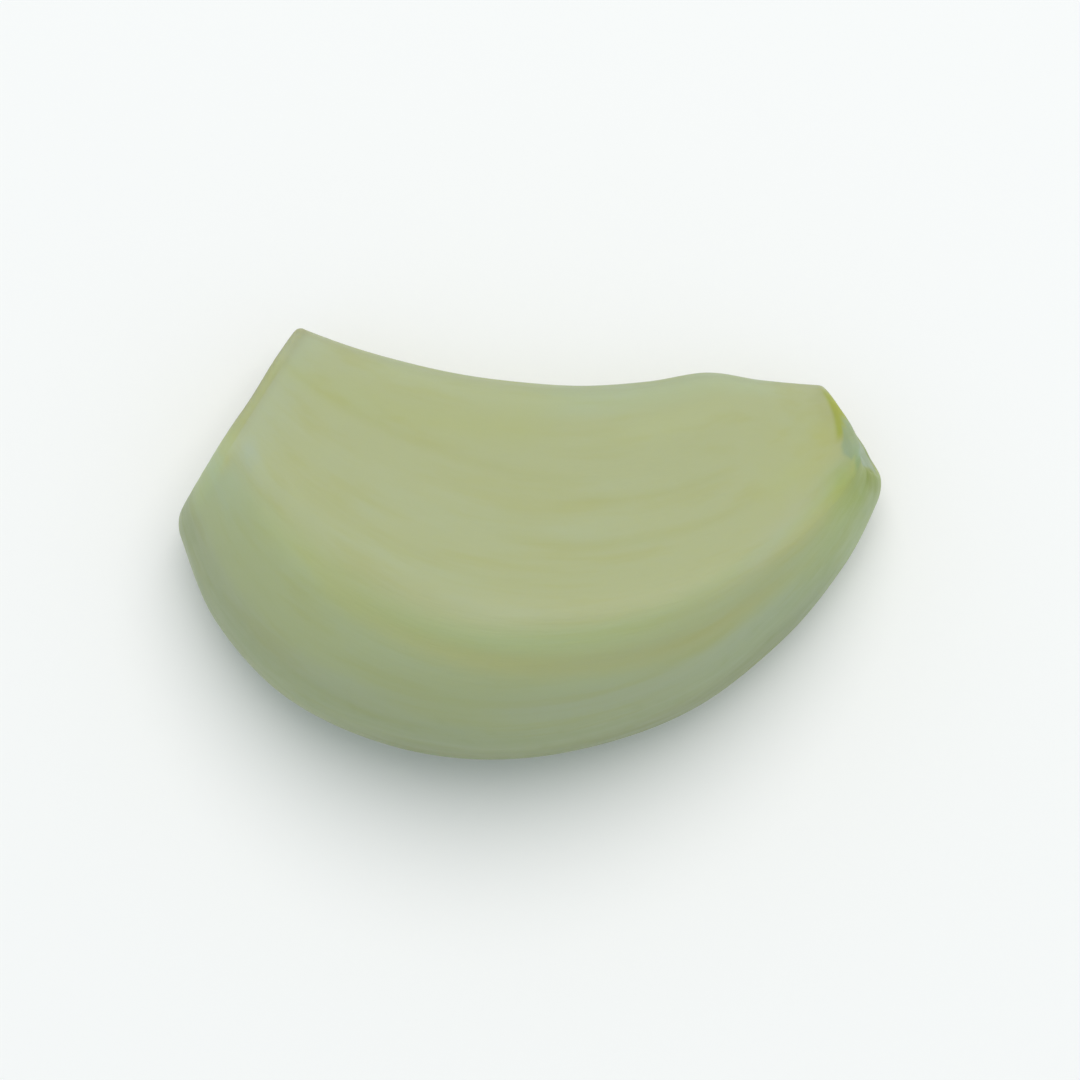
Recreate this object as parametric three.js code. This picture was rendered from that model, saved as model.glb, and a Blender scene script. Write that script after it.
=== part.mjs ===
// One peeled clove of garlic, trimmed with a knife at both ends, lying on one of its two flat sides.
// A clove grows as a single body, so it is a single closed solid.
// Millimetres, +Z up. +X runs from the cut tip to the root end, and -Y is the clove's rounded back.

import * as THREE from 'three';

// The thin inner edge, where the clove met the stem of the bulb, from the cut tip to the root end,
// as [x, y] seen from above. It is hollow along most of its length and swells near the root.
const INNER_EDGE = [
  [-11.6, 10.9], [-8.7, 9.85], [-5.2, 8.9], [-1.7, 8.3], [1.8, 8.05],
  [5.2, 8.3], [8.2, 8.75], [10.9, 8.35], [13.7, 8.1],
];

// The rounded back of the crescent, from the cut tip to the root end.
const BACK_EDGE = [
  [-17.48, 0.5], [-15.65, -3.55], [-12.3, -7.15], [-7.5, -9.5], [-2.0, -10.4],
  [3.4, -9.75], [8.6, -7.65], [12.9, -4.25], [15.65, -0.95], [17.4, 2.2],
];

// Height of the clove's body at even steps from the tip to the root end.
const HEIGHT = [7.8, 10.0, 12.0, 12.9, 12.5, 11.0, 8.7, 5.8];

// Where the crest between the upper side and the back lies, as a share of the way across,
// at even steps from the tip to the root end. The back grows steeper towards the root.
const CREST = [0.57, 0.55, 0.56, 0.595, 0.612, 0.645, 0.7, 0.745, 0.77];

// The sections lean over towards the back, and fan out lengthwise as they go down. The root cut is
// upright at the inner edge, and its slope grows towards the back with this power of the way across.
const LEAN_TO_BACK = Math.tan(THREE.MathUtils.degToRad(12));
const LEAN_AT_TIP = 0.055;
const LEAN_AT_ROOT = -0.3;
const ROOT_LEAN_POWER = 1.5;

// The underside is gently convex from end to end, and settles on one small flat spot.
const UNDERSIDE_RISE = 1.2;
const UNDERSIDE_LOWEST = 0.45;
const FLAT_SPOT_DEPTH = 0.13;

// Rounding of the rims where the knife took the ends off. It grows from the inner edge to the back.
const RIM_RADIUS_INNER = 0.25;
const RIM_RADIUS_BACK = 0.6;
const RIM_STEPS = 4;

// Fineness of the solid: sections along the clove, and points round each one.
const SECTIONS = 44;
const POINTS_ROUND = 48;
const POINTS_MEASURED = 240;

// Smooth curve through values or points at even steps.
const innerEdge = new THREE.SplineCurve(INNER_EDGE.map(([x, y]) => new THREE.Vector2(x, y)));
const backEdge = new THREE.SplineCurve(BACK_EDGE.map(([x, y]) => new THREE.Vector2(x, y)));
const height = new THREE.SplineCurve(HEIGHT.map((value, i) => new THREE.Vector2(i, value)));
const crest = new THREE.SplineCurve(CREST.map((value, i) => new THREE.Vector2(i, value)));

// The rounded wedge of one section, as [share across, share of the height] control points,
// going up the inner edge, over the crest, down the back and home along the underside.
function wedge(top) {
  const back = 1 - top;
  return [
    [-0.02, 0.22], [0.03, 0.435], [0.32 * top, 0.595], [0.575 * top, 0.765], [0.795 * top, 0.927],
    [top - 0.02, 1.012], [top + 0.195 * back, 0.98], [top + 0.43 * back, 0.9],
    [top + 0.66 * back, 0.775], [top + 0.865 * back, 0.615], [1.013, 0.235],
    [0.92, 0.0], [0.56, -0.03], [0.2, 0.0],
  ];
}

// A closed cubic B-spline over the control points, at a share of the way round.
function pointOnRing(control, share) {
  const count = control.length;
  const place = share * count;
  const first = Math.floor(place);
  const w = place - first;
  const weights = [
    (1 - w) ** 3 / 6,
    (3 * w ** 3 - 6 * w ** 2 + 4) / 6,
    (-3 * w ** 3 + 3 * w ** 2 + 3 * w + 1) / 6,
    w ** 3 / 6,
  ];
  const point = new THREE.Vector2();
  weights.forEach((weight, i) => {
    const [x, y] = control[(first + i - 1 + count) % count];
    point.x += weight * x;
    point.y += weight * y;
  });
  return point;
}

// The section's ring, stretched so that it just fills the span from 0 to 1 both ways.
function unitRing(top) {
  const control = wedge(top);
  const measured = Array.from({ length: POINTS_MEASURED }, (_, i) => pointOnRing(control, i / POINTS_MEASURED));
  const box = new THREE.Box2().setFromPoints(measured);
  const span = box.getSize(new THREE.Vector2());
  return Array.from({ length: POINTS_ROUND }, (_, i) =>
    pointOnRing(control, i / POINTS_ROUND).sub(box.min).divide(span));
}

// One section in its place, at a share of the way from the tip to the root end.
function section(along) {
  const inner = innerEdge.getPoint(along);
  const back = backEdge.getPoint(along);
  const tall = height.getPoint(along).y;
  const offLowest = (along - UNDERSIDE_LOWEST) / UNDERSIDE_LOWEST;
  const underside = UNDERSIDE_RISE * offLowest ** 2 - FLAT_SPOT_DEPTH;
  return unitRing(crest.getPoint(along).y).map((share) => {
    const z = Math.max(0, underside + share.y * tall);
    const flat = inner.clone().lerp(back, share.x);
    const leanAtRoot = LEAN_AT_ROOT * share.x ** ROOT_LEAN_POWER;
    const leanAlong = THREE.MathUtils.lerp(LEAN_AT_TIP, leanAtRoot, along);
    return new THREE.Vector3(flat.x + leanAlong * z, flat.y - LEAN_TO_BACK * z, z);
  });
}

function middleOf(ring) {
  return ring.reduce((sum, point) => sum.add(point), new THREE.Vector3()).divideScalar(ring.length);
}

// The rim of a cut end: rings that run on from the body's own side and turn in onto the flat cut face.
function roundedRim(ring, ringBefore) {
  const middle = middleOf(ring);
  const outward = new THREE.Vector3()
    .crossVectors(ring[0].clone().sub(middle), ring[POINTS_ROUND / 4].clone().sub(middle))
    .normalize();
  if (outward.dot(middle.clone().sub(middleOf(ringBefore))) < 0) {
    outward.negate();
  }
  const { min, max } = new THREE.Box3().setFromPoints(ring);
  const rings = [];
  for (let step = 1; step <= RIM_STEPS; step += 1) {
    const turn = (step / RIM_STEPS) * (Math.PI / 2);
    rings.push(ring.map((point, i) => {
      const radius = THREE.MathUtils.mapLinear(point.y, max.y, min.y, RIM_RADIUS_INNER, RIM_RADIUS_BACK);
      const onward = point.clone().sub(ringBefore[i]);
      onward.multiplyScalar(radius / onward.dot(outward));
      const inward = middle.clone().sub(point).setLength(radius);
      return point.clone().addScaledVector(onward, Math.sin(turn)).addScaledVector(inward, 1 - Math.cos(turn));
    }));
  }
  return rings;
}

// Closed surface through all the rings, with a fan of triangles over each cut face.
function solidFromRings(rings) {
  const tip = middleOf(rings[0]);
  const root = middleOf(rings[rings.length - 1]);
  const points = [...rings.flat(), tip, root];
  const tipIndex = points.length - 2;
  const rootIndex = points.length - 1;
  const lastRing = (rings.length - 1) * POINTS_ROUND;
  const faces = [];
  for (let i = 0; i < POINTS_ROUND; i += 1) {
    const next = (i + 1) % POINTS_ROUND;
    for (let start = 0; start < lastRing; start += POINTS_ROUND) {
      const a = start + i;
      const b = start + next;
      const c = a + POINTS_ROUND;
      const d = b + POINTS_ROUND;
      faces.push(a, b, d, a, d, c);
    }
    faces.push(tipIndex, next, i);
    faces.push(rootIndex, lastRing + i, lastRing + next);
  }
  const geometry = new THREE.BufferGeometry().setFromPoints(points);
  geometry.setIndex(faces);
  geometry.computeVertexNormals();
  return geometry;
}

// The whole clove, with the middle of its footprint over the origin.
function cloveGeometry() {
  const body = Array.from({ length: SECTIONS }, (_, i) => section(i / (SECTIONS - 1)));
  const tipRim = roundedRim(body[0], body[1]).reverse();
  const rootRim = roundedRim(body[SECTIONS - 1], body[SECTIONS - 2]);
  const geometry = solidFromRings([...tipRim, ...body, ...rootRim]);
  geometry.computeBoundingBox();
  const middle = geometry.boundingBox.getCenter(new THREE.Vector3());
  geometry.translate(-middle.x, -middle.y, 0);
  return geometry;
}

// Firm, moist, greenish-cream flesh.
const flesh = new THREE.MeshStandardMaterial({ color: 0xb1b88c, roughness: 0.5, metalness: 0 });

const clove = new THREE.Mesh(cloveGeometry(), flesh);
clove.name = 'garlic_clove';

const group = new THREE.Group();
group.add(clove);

export default group;
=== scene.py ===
import math

import bpy
import numpy as np
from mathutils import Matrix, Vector, noise


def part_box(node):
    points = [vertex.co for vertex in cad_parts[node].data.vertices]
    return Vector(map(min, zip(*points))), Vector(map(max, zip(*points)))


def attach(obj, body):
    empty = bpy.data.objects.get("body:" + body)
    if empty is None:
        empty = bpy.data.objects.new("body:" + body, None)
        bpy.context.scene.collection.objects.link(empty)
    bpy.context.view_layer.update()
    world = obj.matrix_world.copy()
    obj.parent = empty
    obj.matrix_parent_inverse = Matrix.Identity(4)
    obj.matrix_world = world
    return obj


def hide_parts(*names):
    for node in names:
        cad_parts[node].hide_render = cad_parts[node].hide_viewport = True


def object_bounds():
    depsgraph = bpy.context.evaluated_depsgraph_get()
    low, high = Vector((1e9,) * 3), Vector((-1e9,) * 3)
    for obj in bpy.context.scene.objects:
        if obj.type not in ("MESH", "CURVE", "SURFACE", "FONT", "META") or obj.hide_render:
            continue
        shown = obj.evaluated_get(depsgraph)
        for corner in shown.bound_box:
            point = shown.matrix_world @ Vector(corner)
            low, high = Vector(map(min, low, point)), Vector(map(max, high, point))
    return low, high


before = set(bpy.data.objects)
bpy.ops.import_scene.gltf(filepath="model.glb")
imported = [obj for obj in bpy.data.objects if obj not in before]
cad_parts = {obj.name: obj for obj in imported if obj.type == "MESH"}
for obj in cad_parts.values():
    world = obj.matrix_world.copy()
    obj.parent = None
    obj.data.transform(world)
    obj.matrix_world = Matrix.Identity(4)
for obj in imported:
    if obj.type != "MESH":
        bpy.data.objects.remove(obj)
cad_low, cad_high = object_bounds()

# ---------------------------------------------------------------------------------------------------
# The clove. One peeled clove of garlic, grown as a single firm body, so it is one closed piece.
# It is a crescent with a wedge section: two flat sides that met its neighbours in the bulb, a
# rounded back, and a thin inner edge. A knife took off its tip and its root end.

# Shape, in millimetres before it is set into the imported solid's box. The two outlines are seen from
# above and run from the cut tip to the root end.
INNER_EDGE = [
    (-11.6, 10.9), (-8.7, 9.85), (-5.2, 8.9), (-1.7, 8.3), (1.8, 8.05),
    (5.2, 8.3), (8.2, 8.75), (10.9, 8.35), (13.7, 8.1),
]
BACK_EDGE = [
    (-17.48, 0.5), (-15.65, -3.55), (-12.3, -7.15), (-7.5, -9.5), (-2.0, -10.4),
    (3.4, -9.75), (8.6, -7.65), (12.9, -4.25), (15.65, -0.95), (17.4, 2.2),
]

# Height of the body, and where the crest between the upper side and the back lies as a share of the
# way across, both at even steps from the tip to the root end.
HEIGHT = [7.8, 10.0, 12.0, 12.9, 12.5, 11.0, 8.7, 5.8]
CREST = [0.57, 0.55, 0.56, 0.595, 0.612, 0.645, 0.7, 0.745, 0.77]

# The sections lean over towards the back, and fan out lengthwise as they go down. The root cut is
# upright at the inner edge, and its slope grows towards the back with this power of the way across.
LEAN_TO_BACK = math.tan(math.radians(12))
LEAN_AT_TIP = 0.055
LEAN_AT_ROOT = -0.3
ROOT_LEAN_POWER = 1.5

# The underside is gently convex from end to end, and settles on one small flat spot. The rims of the
# cuts are rounder towards the back.
UNDERSIDE_RISE = 1.2
UNDERSIDE_LOWEST = 0.45
FLAT_SPOT_DEPTH = 0.13
RIM_RADIUS_INNER = 0.25
RIM_RADIUS_BACK = 0.6

# Fineness of the mesh: rows along the body, points round each row, and rows on each cut end. The last
# two are how far over the rim and how far onto the face each of those rows lies.
BODY_ROWS = 250
POINTS_ROUND = 288
RIM_ROWS = 8
FACE_ROWS = 22
END_ROWS = RIM_ROWS + FACE_ROWS
RIM_STEPS = np.arange(1, RIM_ROWS + 1) / RIM_ROWS
FACE_STEPS = np.arange(1, FACE_ROWS + 1) / (FACE_ROWS + 1)


def spline_through(values, shares):
    """Smooth curve through values at even steps, read at shares of its length."""
    values = np.array(values, float)
    last = len(values) - 1
    place = np.clip(shares, 0, 1) * last
    step = np.minimum(place.astype(int), last - 1)
    w = (place - step).reshape(-1, *[1] * (values.ndim - 1))
    before = values[np.maximum(step - 1, 0)]
    start = values[step]
    end = values[step + 1]
    after = values[np.minimum(step + 2, last)]
    slope_in = (end - before) / 2
    slope_out = (after - start) / 2
    return (
        (2 * start - 2 * end + slope_in + slope_out) * w**3
        + (3 * end - 3 * start - 2 * slope_in - slope_out) * w**2
        + slope_in * w
        + start
    )


def wedge_ring(top, shares):
    """The rounded wedge of one section, as shares across and up, filling the span from 0 to 1."""
    back = 1 - top
    control = np.array([
        (-0.02, 0.22), (0.03, 0.435), (0.32 * top, 0.595), (0.575 * top, 0.765), (0.795 * top, 0.927),
        (top - 0.02, 1.012), (top + 0.195 * back, 0.98), (top + 0.43 * back, 0.9),
        (top + 0.66 * back, 0.775), (top + 0.865 * back, 0.615), (1.013, 0.235),
        (0.92, 0.0), (0.56, -0.03), (0.2, 0.0),
    ])
    place = shares * len(control)
    first = np.floor(place).astype(int)
    w = (place - first)[:, None]
    ring = (
        (1 - w) ** 3 * control[(first - 1) % len(control)]
        + (3 * w**3 - 6 * w**2 + 4) * control[first % len(control)]
        + (-3 * w**3 + 3 * w**2 + 3 * w + 1) * control[(first + 1) % len(control)]
        + w**3 * control[(first + 2) % len(control)]
    ) / 6
    return (ring - ring.min(0)) / (ring.max(0) - ring.min(0))


along = np.linspace(0, 1, BODY_ROWS)
around = np.arange(POINTS_ROUND) / POINTS_ROUND
inner = spline_through(INNER_EDGE, along)[:, None]
back = spline_through(BACK_EDGE, along)[:, None]
tall = spline_through(HEIGHT, along)[:, None]
unit = np.array([wedge_ring(top, around) for top in spline_through(CREST, along)])
underside = UNDERSIDE_RISE * ((along - UNDERSIDE_LOWEST) / UNDERSIDE_LOWEST) ** 2 - FLAT_SPOT_DEPTH
up = np.maximum(0, underside[:, None] + unit[..., 1] * tall)
lean_at_root = LEAN_AT_ROOT * unit[..., 0] ** ROOT_LEAN_POWER
lean_along = LEAN_AT_TIP + (lean_at_root - LEAN_AT_TIP) * along[:, None]
flat = inner + (back - inner) * unit[..., :1]
body = np.dstack([flat[..., 0] + lean_along * up, flat[..., 1] - LEAN_TO_BACK * up, up])


def close_in(edge):
    """Rows that shrink from an edge to its middle."""
    hub = edge.mean(0)
    return [hub + (edge - hub) * (1 - step) for step in FACE_STEPS]


def cut_end(ring, ring_before):
    """Rows that turn in over a cut rim and on across the flat face to its middle."""
    middle = ring.mean(0)
    outward = np.cross(ring[0] - middle, ring[POINTS_ROUND // 4] - middle)
    outward /= np.linalg.norm(outward)
    if outward @ (middle - ring_before.mean(0)) < 0:
        outward = -outward
    from_back_to_inner = [ring[:, 1].min(), ring[:, 1].max()]
    radius = np.interp(ring[:, 1], from_back_to_inner, [RIM_RADIUS_BACK, RIM_RADIUS_INNER])[:, None]
    onward = ring - ring_before
    onward *= radius / (onward @ outward)[:, None]
    inward = middle - ring
    inward *= radius / np.linalg.norm(inward, axis=1, keepdims=True)
    turns = RIM_STEPS * math.pi / 2
    rows = [ring + onward * math.sin(turn) + inward * (1 - math.cos(turn)) for turn in turns]
    return rows + close_in(rows[-1])


tip_rows = cut_end(body[0], body[1])[::-1]
root_rows = cut_end(body[-1], body[-2])
surface = np.array([*tip_rows, *body, *root_rows])

# Where each point lies, as shares from 0 to 1: the way from tip to root, the way round, and the way
# across from the inner edge to the back. On the ends, how far it is over a cut's rim, and how far onto
# the cut's face, where 1 is the middle of the face.
place_along = np.repeat(np.concatenate([np.zeros(END_ROWS), along, np.ones(END_ROWS)]), POINTS_ROUND)
place_around = np.tile(around, len(surface))
tip_across = [unit[0, :, 0]] * RIM_ROWS + close_in(unit[0, :, 0])
root_across = [unit[-1, :, 0]] * RIM_ROWS + close_in(unit[-1, :, 0])
place_across = np.concatenate([*tip_across[::-1], *unit[..., 0], *root_across])
over_rim = np.concatenate([RIM_STEPS, np.ones(FACE_ROWS)])
onto_face = np.concatenate([np.zeros(RIM_ROWS), FACE_STEPS])
elsewhere = np.zeros(BODY_ROWS + END_ROWS)
over_tip_rim = np.repeat(np.concatenate([over_rim[::-1], elsewhere]), POINTS_ROUND)
over_root_rim = np.repeat(np.concatenate([elsewhere, over_rim]), POINTS_ROUND)
onto_tip = np.repeat(np.concatenate([onto_face[::-1], elsewhere]), POINTS_ROUND)
onto_root = np.repeat(np.concatenate([elsewhere, onto_face]), POINTS_ROUND)
onto_faces = np.maximum(onto_tip, onto_root)


def smooth(low, high, value):
    """Smooth step from 0 at low to 1 at high."""
    share = np.clip((value - low) / (high - low), 0, 1)
    return share * share * (3 - 2 * share)


def span(low, high, value, soft):
    """1 between low and high, fading to 0 over a soft margin outside each."""
    return smooth(low - soft, low, value) * smooth(high + soft, high, value)


# The side that can be seen from above, and all that isn't a cut face. Single marks keep to these.
UNDERSIDE_FROM = 0.75
UNDERSIDE_FADE = 0.02
upper_side = smooth(UNDERSIDE_FROM + UNDERSIDE_FADE, UNDERSIDE_FROM - UNDERSIDE_FADE, place_around)
off_faces = smooth(0.2, 0.0, onto_faces)

# The flesh grows lengthwise, so its faint ribs and tints run along the clove. These coordinates are
# millimetres along the clove and out from its middle line, and they close in over the cut faces.
LENGTH = 34.0
GIRTH_PER_HEIGHT = 0.58
angle = place_around * 2 * math.pi
girth = GIRTH_PER_HEIGHT * spline_through(HEIGHT, place_along) * (1 - onto_tip) * (1 - onto_root)
grain = np.stack([place_along * LENGTH, np.cos(angle) * girth, np.sin(angle) * girth], 1)


def waves(places, stretch, size, seed):
    """Smooth noise from about -1 to 1 with features of the given size, longer in the first direction."""
    scaled = places / (size * np.array([stretch, 1, 1])) + seed
    return np.array([noise.noise(Vector(place)) for place in scaled])


# Single furrows and ribs: share across at the start and the end, share along at the start and the end,
# half width as a share across, and depth in millimetres, less than 0 for a rib.
UPPER_FURROWS = [
    (0.165, 0.27, -0.05, 0.58, 0.016, 0.020),
    (0.334, 0.326, 0.04, 0.28, 0.020, -0.012),
    (0.335, 0.325, 0.28, 0.50, 0.020, -0.012),
    (0.31, 0.365, 0.48, 0.78, 0.014, 0.020),
    (0.40, 0.51, 0.38, 0.80, 0.016, 0.022),
    (0.465, 0.50, 0.10, 0.40, 0.020, 0.012),
]
BACK_FURROWS = [
    (0.61, 0.89, 0.12, 0.90, 0.030, 0.040),
    (0.895, 0.965, 0.16, 0.74, 0.014, 0.035),
]


def streak(start_across, end_across, start, end, half_width):
    """How strongly each point lies in one long streak, fading towards both of its ends."""
    share = np.clip((place_along - start) / (end - start), 0, 1)
    centre = start_across + (end_across - start_across) * share
    near = np.exp(-(((place_across - centre) / half_width) ** 2))
    return near * smooth(0.0, 0.2, share) * smooth(1.0, 0.8, share) * off_faces * upper_side


# How far the flesh stands out from the plain loft, in millimetres: soft lumps, and lengthwise ribs.
LUMP_HEIGHT = 0.07
RIB_HEIGHT = 0.008
FINE_RIB_HEIGHT = 0.002
points = surface.reshape(-1, 3)
relief = LUMP_HEIGHT * waves(points, stretch=1.0, size=5.5, seed=3.0)
relief += RIB_HEIGHT * waves(grain, stretch=8.0, size=1.1, seed=11.0)
relief += FINE_RIB_HEIGHT * waves(grain, stretch=8.0, size=0.45, seed=23.0)
for *path, depth in UPPER_FURROWS + BACK_FURROWS:
    relief -= depth * streak(*path)

# The knife left the tip face flat with faint drag lines, and the root face is a rough scar.
DRAG_LINE_HEIGHT = 0.012
SCAR_ROUGHNESS = 0.05
relief *= smooth(0.1, 0.0, onto_faces)
relief += DRAG_LINE_HEIGHT * smooth(0.0, 0.1, onto_tip) * waves(points, stretch=0.3, size=1.2, seed=31.0)
relief += SCAR_ROUGHNESS * smooth(0.0, 0.15, onto_root) * waves(points, stretch=1.0, size=0.7, seed=41.0)

# Each cut bulges a little along one part of its rim and on the face beside that. On the tip this part
# is by the inner edge, and on the root it is half way across.
TIP_BULGE = 0.12
ROOT_BULGE = 0.09
relief += TIP_BULGE * over_tip_rim * smooth(0.9, 0.3, onto_tip) * smooth(0.40, 0.10, place_across)
relief += ROOT_BULGE * over_root_rim * smooth(0.9, 0.3, onto_root) * span(0.34, 0.56, place_across, 0.20)

# Move the points out by the relief, which fades towards the floor so that the resting spot stays flat.
FADE_ABOVE_FLOOR = 0.6
lengthwise = np.gradient(surface, axis=0)
crosswise = np.roll(surface, -1, 1) - np.roll(surface, 1, 1)
normals = np.cross(crosswise, lengthwise).reshape(-1, 3)
normals /= np.maximum(np.linalg.norm(normals, axis=1, keepdims=True), 1e-9)
if ((points - points.mean(0)) * normals).sum() < 0:
    normals = -normals
off_floor = smooth(0, FADE_ABOVE_FLOOR, points[:, 2])
points = points + normals * (relief * off_floor)[:, None]
points[:, 2] = np.maximum(points[:, 2], 0)
hubs = [points[:POINTS_ROUND].mean(0), points[-POINTS_ROUND:].mean(0)]
points = np.vstack([points, hubs])

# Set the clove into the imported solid's box, in metres.
solid_low, solid_high = (np.array(limit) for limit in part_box("garlic_clove"))
own_low, own_high = points.min(0), points.max(0)
points = solid_low + (points - own_low) * (solid_high - solid_low) / (own_high - own_low)

# Four-sided faces between the rows, and a fan of triangles round each hub.
row_starts = np.arange(len(surface) - 1)[:, None] * POINTS_ROUND
last_row = (len(surface) - 1) * POINTS_ROUND
tip_hub = len(surface) * POINTS_ROUND
root_hub = tip_hub + 1
this_point = row_starts + np.arange(POINTS_ROUND)
next_point = row_starts + (np.arange(POINTS_ROUND) + 1) % POINTS_ROUND
ring_faces = [this_point, next_point, next_point + POINTS_ROUND, this_point + POINTS_ROUND]
quads = np.dstack(ring_faces).reshape(-1, 4)
tip_fan = [(tip_hub, (i + 1) % POINTS_ROUND, i) for i in range(POINTS_ROUND)]
root_fan = [(root_hub, last_row + i, last_row + (i + 1) % POINTS_ROUND) for i in range(POINTS_ROUND)]

mesh = bpy.data.meshes.new("clove")
mesh.from_pydata(points.tolist(), [], quads.tolist() + tip_fan + root_fan)
mesh.validate()
mesh.shade_smooth()
clove = bpy.data.objects.new("clove", mesh)
bpy.context.scene.collection.objects.link(clove)


# The tints of the flesh, with painted shade and a painted highlight among them. Each is a colour that
# multiplies the flesh's own as far as its mask goes. The side that lay against the next clove is cream,
# the back that lay under the skin is greener and darker, partly its own colour and partly painted shade,
# and the thin inner edge is paler and bluer. The flesh is paler at the tip and yellower towards the
# root.
tint_and_shade = np.ones((len(place_along), 3))


def apply_tint_and_shade(mask, colour):
    """Multiplies the flesh's colour by a colour as far as the mask goes, for its tints and for painted
    shade.
    """
    tint_and_shade[:] *= 1 + mask[:, None] * (np.array(colour) - 1)


def spot(across, along, half_across, half_along):
    """How strongly each point of the upper side lies in one soft round spot."""
    sideways = (place_across - across) / half_across
    lengthwise = (place_along - along) / half_along
    return np.exp(-(sideways**2) - lengthwise**2) * off_faces * upper_side


# The back: greener past the crest, partly the flesh's own colour and partly painted shade where it turns
# from the lamp. It is darker and duller down towards its lower edge and near the tip: painted shade.
past_crest = place_across - spline_through(CREST, place_along)
apply_tint_and_shade(smooth(0.0, 0.1, past_crest), (0.955, 1.0, 1.0))
apply_tint_and_shade(smooth(0.88, 0.96, place_across), (0.97, 1.0, 1.0))
# Painted shade on the lower back near the tip, which faces away from the lamp.
apply_tint_and_shade(smooth(0.82, 0.93, place_across) * smooth(0.5, 0.05, place_along), (0.91, 0.90, 0.93))
apply_tint_and_shade(smooth(0.78, 0.90, place_across) * smooth(0.6, 0.9, place_along), (0.98, 1.03, 1.0))
# Painted shade along the lower edge, where the back turns down to the floor.
apply_tint_and_shade(smooth(0.88, 0.97, place_across) * span(0.4, 0.8, place_along, 0.2), (0.92, 0.91, 0.92))
apply_tint_and_shade(smooth(0.955, 0.992, place_across) * span(0.38, 0.78, place_along, 0.15), (0.84, 0.83, 0.78))
apply_tint_and_shade(smooth(0.95, 1.0, place_across) * span(0.82, 0.97, place_along, 0.08), (1.03, 1.04, 1.16))

# The thin inner edge: paler and bluer, with a dull line on the very edge.
inner_edge = smooth(0.12, 0.03, place_across)
apply_tint_and_shade(inner_edge * span(0.2, 0.85, place_along, 0.1), (1.01, 1.03, 1.04))
apply_tint_and_shade(inner_edge * span(0.5, 0.85, place_along, 0.1), (0.97, 1.0, 1.07))
apply_tint_and_shade(smooth(0.05, 0.0, place_across), (0.91, 0.91, 0.93))

# The two ends: pale and bluish at the tip, yellower at the root.
near_tip = smooth(0.12, 0.0, place_along) * span(0.12, 0.65, place_across, 0.2) * upper_side
tip_shoulder = smooth(0.09, 0.03, place_along) * span(0.66, 0.86, place_across, 0.08) * upper_side
near_root = smooth(0.74, 0.96, place_along) * smooth(0.08, 0.30, place_across)
apply_tint_and_shade(near_tip, (1.0, 1.03, 1.20))
apply_tint_and_shade(tip_shoulder, (1.04, 1.04, 1.05))
apply_tint_and_shade(near_root, (1.0, 0.99, 0.86))
apply_tint_and_shade(smooth(0.93, 1.0, place_along), (0.96, 0.95, 0.97))

# The furrows of the upper side are yellower and, as painted shade, darker the deeper they are, and its
# ribs are paler, as a painted highlight.
FURROW_TINT_AND_SHADE = np.array([0.8, 1.1, 4.0])
for *path, depth in UPPER_FURROWS:
    apply_tint_and_shade(streak(*path), 1 - depth * FURROW_TINT_AND_SHADE)

# Long soft streaks of colour, each given as a furrow is, with its colour last.
STREAKS = [
    # Along the crest, yellow in the furrow of the back, and beside it a paler band that is a painted
    # highlight on the crest.
    (0.61, 0.89, 0.12, 0.90, 0.035, (1.04, 0.985, 0.87)),
    (0.60, 0.72, 0.02, 0.70, 0.040, (1.04, 1.05, 1.02)),
    (0.665, 0.700, 0.15, 1.00, 0.035, (0.965, 1.0, 1.0)),
    # Yellower near the inner edge, from the tip to the middle.
    (0.20, 0.11, -0.10, 0.52, 0.050, (1.0, 1.0, 0.91)),
    # Bluer bands: two on the back, one on the middle by the tip, and one by the root.
    (0.85, 0.93, 0.42, 0.88, 0.035, (1.0, 1.0, 1.15)),
    (0.875, 0.875, -0.05, 0.40, 0.030, (1.0, 1.0, 1.09)),
    (0.53, 0.53, 0.00, 0.45, 0.030, (1.0, 1.015, 1.07)),
    (0.72, 0.53, 0.72, 1.10, 0.060, (1.0, 1.0, 1.13)),
]
for *path, colour in STREAKS:
    apply_tint_and_shade(streak(*path), colour)

# Soft round spots: share across, share along, half size across, half size along, and colour.
SPOTS = [
    # Paler swellings on the upper side, and a yellower patch towards the root.
    (0.15, 0.65, 0.04, 0.12, (1.03, 1.035, 1.02)),
    (0.60, 0.20, 0.05, 0.07, (1.02, 1.03, 1.03)),
    (0.48, 0.84, 0.06, 0.06, (1.0, 1.0, 0.90)),
    # Greener and more olive flesh where the back runs up to the root's cut.
    (0.62, 0.95, 0.06, 0.06, (0.955, 1.0, 0.99)),
    (0.70, 0.96, 0.11, 0.06, (0.90, 0.96, 0.95)),
    (0.70, 0.955, 0.07, 0.022, (0.96, 0.98, 0.86)),
    (0.80, 1.0, 0.14, 0.035, (0.88, 0.93, 0.82)),
    (0.82, 0.96, 0.11, 0.05, (0.96, 1.0, 0.80)),
    (0.90, 0.98, 0.06, 0.03, (1.0, 1.0, 0.86)),
    (0.92, 0.99, 0.05, 0.018, (0.98, 1.0, 0.84)),
    # Small yellow and pale patches along the upper part of the root's cut.
    (0.07, 1.0, 0.05, 0.025, (0.93, 0.95, 0.86)),
    (0.25, 0.99, 0.04, 0.015, (1.0, 1.01, 1.15)),
    (0.36, 0.95, 0.07, 0.03, (1.0, 0.99, 0.84)),
    # An olive spot at the crest of the tip's cut, and a pale spot beside it.
    (0.635, 0.012, 0.05, 0.014, (1.05, 0.99, 0.84)),
    (0.53, 0.045, 0.05, 0.020, (0.97, 1.0, 1.15)),
]
for *place, colour in SPOTS:
    apply_tint_and_shade(spot(*place), colour)

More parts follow.
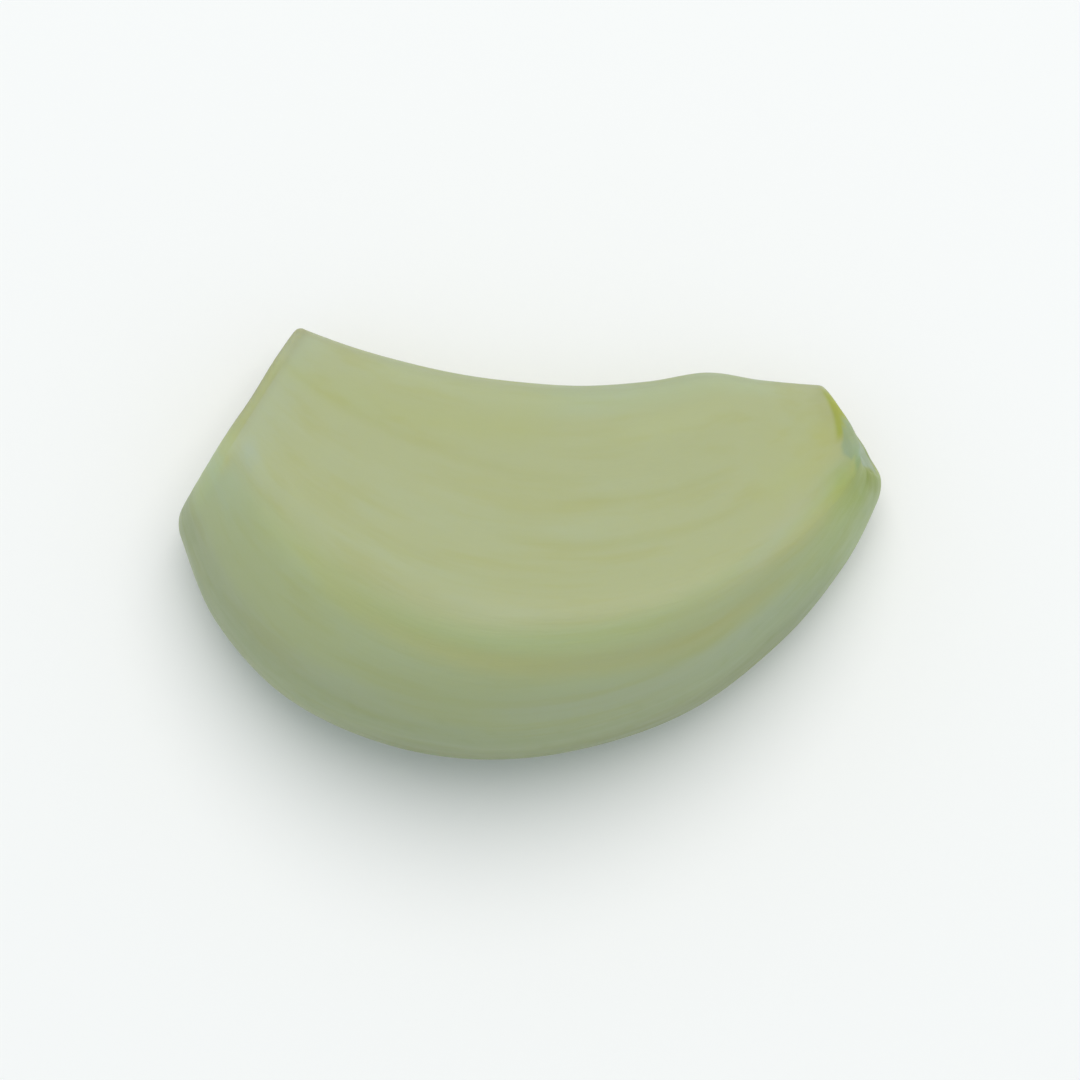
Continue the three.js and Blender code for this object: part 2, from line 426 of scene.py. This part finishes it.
# The tip's cut. The flesh darkens towards its rim and on it, most at the inner corner. A thin olive
# line lies on the middle of the rim, and the flesh is paler below the crest.
by_tip = smooth(0.03, 0.0, place_along) * smooth(0.60, 0.45, place_across) * upper_side
tip_line = smooth(0.2, 0.9, over_tip_rim) * smooth(0.3, 0.0, onto_tip)
tip_corner = smooth(0.05, 0.0, place_along) * smooth(0.14, 0.0, place_across)
tip_olive = smooth(0.006, 0.0, place_along) * span(0.25, 0.55, place_across, 0.1) * upper_side
below_crest = smooth(0.03, 0.0, place_along) * span(0.60, 0.85, place_across, 0.1) * upper_side
apply_tint_and_shade(by_tip, (0.93, 0.91, 0.90))
apply_tint_and_shade(tip_line * smooth(0.6, 0.4, place_across), (0.90, 0.89, 0.90))
apply_tint_and_shade(tip_line * smooth(0.8, 0.9, place_across), (0.92, 0.95, 0.97))
apply_tint_and_shade(tip_corner, (0.94, 0.92, 0.86))
apply_tint_and_shade(tip_olive, (0.96, 0.96, 0.80))
apply_tint_and_shade(below_crest, (1.04, 1.06, 1.07))

# So far both cut faces are plain flesh inside their rims.
inside_rim = smooth(0.0, 0.35, onto_faces)[:, None]
tint_and_shade += (1 - tint_and_shade) * inside_rim

# The root's cut. An olive band lies along the inner half of its rim, and an olive spot on its back
# corner, with ragged edges. Between them the cut is a moist green-blue scar that laps over the rim,
# with one pale spot. The band and the scar start at a share along that changes on the way across.
EDGE_RAGGEDNESS = 0.25
ragged = EDGE_RAGGEDNESS * waves(surface.reshape(-1, 3), stretch=1.0, size=0.7, seed=51.0)
olive_from = np.interp(place_across, [0.05, 0.25, 0.45], [1.004, 0.991, 0.972])
scar_from = np.interp(place_across, [0.28, 0.44, 0.50, 0.56, 0.68], [1.01, 0.988, 0.972, 0.972, 1.005])
past_rim = smooth(0.0, 0.8, over_root_rim + ragged) * smooth(0.5, 0.1, onto_root + ragged)
back_corner = past_rim * smooth(0.84, 0.95, place_across) * smooth(0.76, 0.66, place_around)
laps_over = smooth(-0.006, 0.010, place_along - scar_from) * upper_side
on_cut = smooth(0.0, 0.4, over_root_rim)
scar = np.maximum(laps_over, on_cut) * span(0.34, 0.74, place_across, 0.10)
scar = np.maximum(scar, smooth(0.05, 0.2, onto_root)) * (1 - back_corner)
olive = smooth(-0.014, 0.004, place_along - olive_from) * span(0.09, 0.40, place_across, 0.08)
apply_tint_and_shade(scar, (0.75, 0.87, 1.02))
apply_tint_and_shade(olive * upper_side * (1 - scar), (0.84, 0.88, 0.38))
apply_tint_and_shade(back_corner, (0.67, 0.70, 0.26))
apply_tint_and_shade(past_rim * smooth(0.72, 0.85, place_around), (0.90, 0.92, 0.70))
apply_tint_and_shade(spot(0.68, 1.0, 0.06, 0.012) * smooth(0.3, 0.8, over_root_rim), (1.12, 1.12, 1.5))

tint_layer = mesh.attributes.new("tint_and_shade", "FLOAT_COLOR", "POINT")
hub_tint = np.array([tint_and_shade[0], tint_and_shade[-1]])
tint_rgba = np.hstack([np.vstack([tint_and_shade, hub_tint]), np.ones((len(tint_and_shade) + 2, 1))])
tint_layer.data.foreach_set("color", tint_rgba.astype(np.float32).ravel())
grain_layer = mesh.attributes.new("grain", "FLOAT_VECTOR", "POINT")
hub_grain = np.array([[0, 0, 0], [LENGTH, 0, 0]])
grain_layer.data.foreach_set("vector", np.vstack([grain, hub_grain]).astype(np.float32).ravel())

# Firm, moist flesh that lets a little light through, so its colours blur into one another.
flesh = bpy.data.materials.new("garlic flesh")
flesh.use_nodes = True
nodes = flesh.node_tree.nodes
links = flesh.node_tree.links
shader = nodes["Principled BSDF"]
shader.inputs["Subsurface Weight"].default_value = 0.5
shader.inputs["Subsurface Radius"].default_value = (1.0, 0.85, 0.45)
shader.inputs["Subsurface Scale"].default_value = 0.0018
shader.inputs["IOR"].default_value = 1.4
shader.inputs["Specular IOR Level"].default_value = 0.4


def read_points(name):
    """Node that reads a value stored on the clove's points."""
    node = nodes.new("ShaderNodeAttribute")
    node.attribute_name = name
    return node


def grain_noise(scale, stretch, detail):
    """Noise that runs lengthwise: scale is per millimetre across, and stretch is how long it is."""
    mapping = nodes.new("ShaderNodeMapping")
    mapping.inputs["Scale"].default_value = (scale / stretch, scale, scale)
    texture = nodes.new("ShaderNodeTexNoise")
    texture.inputs["Scale"].default_value = 1.0
    texture.inputs["Detail"].default_value = detail
    links.new(grain_at.outputs["Vector"], mapping.inputs["Vector"])
    links.new(mapping.outputs["Vector"], texture.inputs["Vector"])
    return texture.outputs["Fac"]


def between(value, low, high, low_out, high_out):
    """Smooth change from low_out to high_out as a value goes from low to high."""
    node = nodes.new("ShaderNodeMapRange")
    node.interpolation_type = "SMOOTHSTEP"
    node.inputs["From Min"].default_value = low
    node.inputs["From Max"].default_value = high
    node.inputs["To Min"].default_value = low_out
    node.inputs["To Max"].default_value = high_out
    links.new(value, node.inputs["Value"])
    return node.outputs["Result"]


def mix(share, base, colour):
    """Colour mixed over base by a share from 0 to 1."""
    node = nodes.new("ShaderNodeMix")
    node.data_type = "RGBA"
    links.new(share, node.inputs["Factor"])
    links.new(base, node.inputs["A"])
    node.inputs["B"].default_value = (*colour, 1)
    return node.outputs["Result"]


def plain(colour):
    """One colour all over."""
    node = nodes.new("ShaderNodeRGB")
    node.outputs[0].default_value = (*colour, 1)
    return node.outputs[0]


def tinted(base, by):
    """Base colour multiplied by another colour."""
    node = nodes.new("ShaderNodeMix")
    node.data_type = "RGBA"
    node.blend_type = "MULTIPLY"
    node.inputs["Factor"].default_value = 1.0
    links.new(base, node.inputs["A"])
    links.new(by, node.inputs["B"])
    return node.outputs["Result"]


# The flesh's own colour is cream, with long wisps of straw and broader milky ones.
CREAM = (0.40, 0.43, 0.233)
STRAW = (0.385, 0.40, 0.168)
MILK = (0.40, 0.446, 0.282)

grain_at = read_points("grain")
straw_wisps = between(grain_noise(scale=0.9, stretch=9.0, detail=3.0), 0.45, 0.75, 0.0, 0.45)
milky_wisps = between(grain_noise(scale=0.35, stretch=3.0, detail=2.0), 0.5, 0.8, 0.0, 0.5)
gloss_patches = between(grain_noise(scale=1.5, stretch=6.0, detail=3.0), 0.3, 0.7, 0.42, 0.55)
flesh_colour = mix(straw_wisps, plain(CREAM), STRAW)
flesh_colour = mix(milky_wisps, flesh_colour, MILK)
# The tints and the painted shade and highlight stored on the points multiply it.
flesh_colour = tinted(flesh_colour, read_points("tint_and_shade").outputs["Color"])
links.new(flesh_colour, shader.inputs["Base Color"])
links.new(gloss_patches, shader.inputs["Roughness"])

# The finest fibres, too fine for the mesh.
bump = nodes.new("ShaderNodeBump")
bump.inputs["Strength"].default_value = 0.15
bump.inputs["Distance"].default_value = 0.0001
links.new(grain_noise(scale=3.0, stretch=6.0, detail=4.0), bump.inputs["Height"])
links.new(bump.outputs["Normal"], shader.inputs["Normal"])

mesh.materials.append(flesh)
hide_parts("garlic_clove")
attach(clove, "root")

# ---------------------------------------------------------------------------------------------------
# The table that the clove lies on. It is a plain board with a matt white finish, wide enough to fill
# the view, and the clove rests on it by its own weight.
BOARD_SIZE = 3.0
half = BOARD_SIZE / 2
board_corners = [(-half, -half, 0), (half, -half, 0), (half, half, 0), (-half, half, 0)]
board_mesh = bpy.data.meshes.new("board")
board_mesh.from_pydata(board_corners, [], [(0, 1, 2, 3)])
board = bpy.data.objects.new("board", board_mesh)
bpy.context.scene.collection.objects.link(board)
white = bpy.data.materials.new("white board")
white.use_nodes = True
white.node_tree.nodes["Principled BSDF"].inputs["Base Color"].default_value = (0.9, 0.9, 0.9, 1)
white.node_tree.nodes["Principled BSDF"].inputs["Roughness"].default_value = 0.9
board_mesh.materials.append(white)

# ---------------------------------------------------------------------------------------------------
# The studio. Soft cool light comes from all round, and one wide, warmer lamp hangs above the clove
# and a little behind it, a metre away.
world = bpy.data.worlds.new("studio")
bpy.context.scene.world = world
world.use_nodes = True
world.node_tree.nodes["Background"].inputs["Color"].default_value = (0.9, 1.0, 1.03, 1)
world.node_tree.nodes["Background"].inputs["Strength"].default_value = 0.58

LAMP_PLACE = Vector((0.1, 0.33, 0.94))
lamp = bpy.data.lights.new("key", "AREA")
lamp.shape = "DISK"
lamp.size = 1.0
lamp.energy = 6.7
lamp.color = (1.0, 0.943, 0.906)
lamp_object = bpy.data.objects.new("key", lamp)
lamp_object.location = LAMP_PLACE
lamp_object.rotation_mode = "QUATERNION"
lamp_object.rotation_quaternion = (-LAMP_PLACE).to_track_quat("-Z", "Y")
bpy.context.scene.collection.objects.link(lamp_object)

# ---------------------------------------------------------------------------------------------------
# The camera. It looks steeply down on the clove's upper side from the side of its back, through a
# long lens, and aims a little off the middle of the clove's footprint.
CAMERA_ELEVATION = math.radians(78)
CAMERA_DISTANCE = 0.192
LENS_LENGTH = 130
AIM_OFF_MIDDLE = Vector((0.00044, 0.00088, 0.00015))
footprint_middle = Vector(((cad_low.x + cad_high.x) / 2, (cad_low.y + cad_high.y) / 2, cad_low.z))
towards_camera = Vector((0, -math.cos(CAMERA_ELEVATION), math.sin(CAMERA_ELEVATION)))
camera = bpy.data.cameras.new("camera")
camera.lens = LENS_LENGTH
camera.clip_start = 0.01
camera_object = bpy.data.objects.new("camera", camera)
camera_object.location = footprint_middle + AIM_OFF_MIDDLE + towards_camera * CAMERA_DISTANCE
camera_object.rotation_mode = "QUATERNION"
camera_object.rotation_quaternion = (-towards_camera).to_track_quat("-Z", "Y")
bpy.context.scene.collection.objects.link(camera_object)
bpy.context.scene.camera = camera_object
bpy.context.scene.view_settings.view_transform = "Standard"
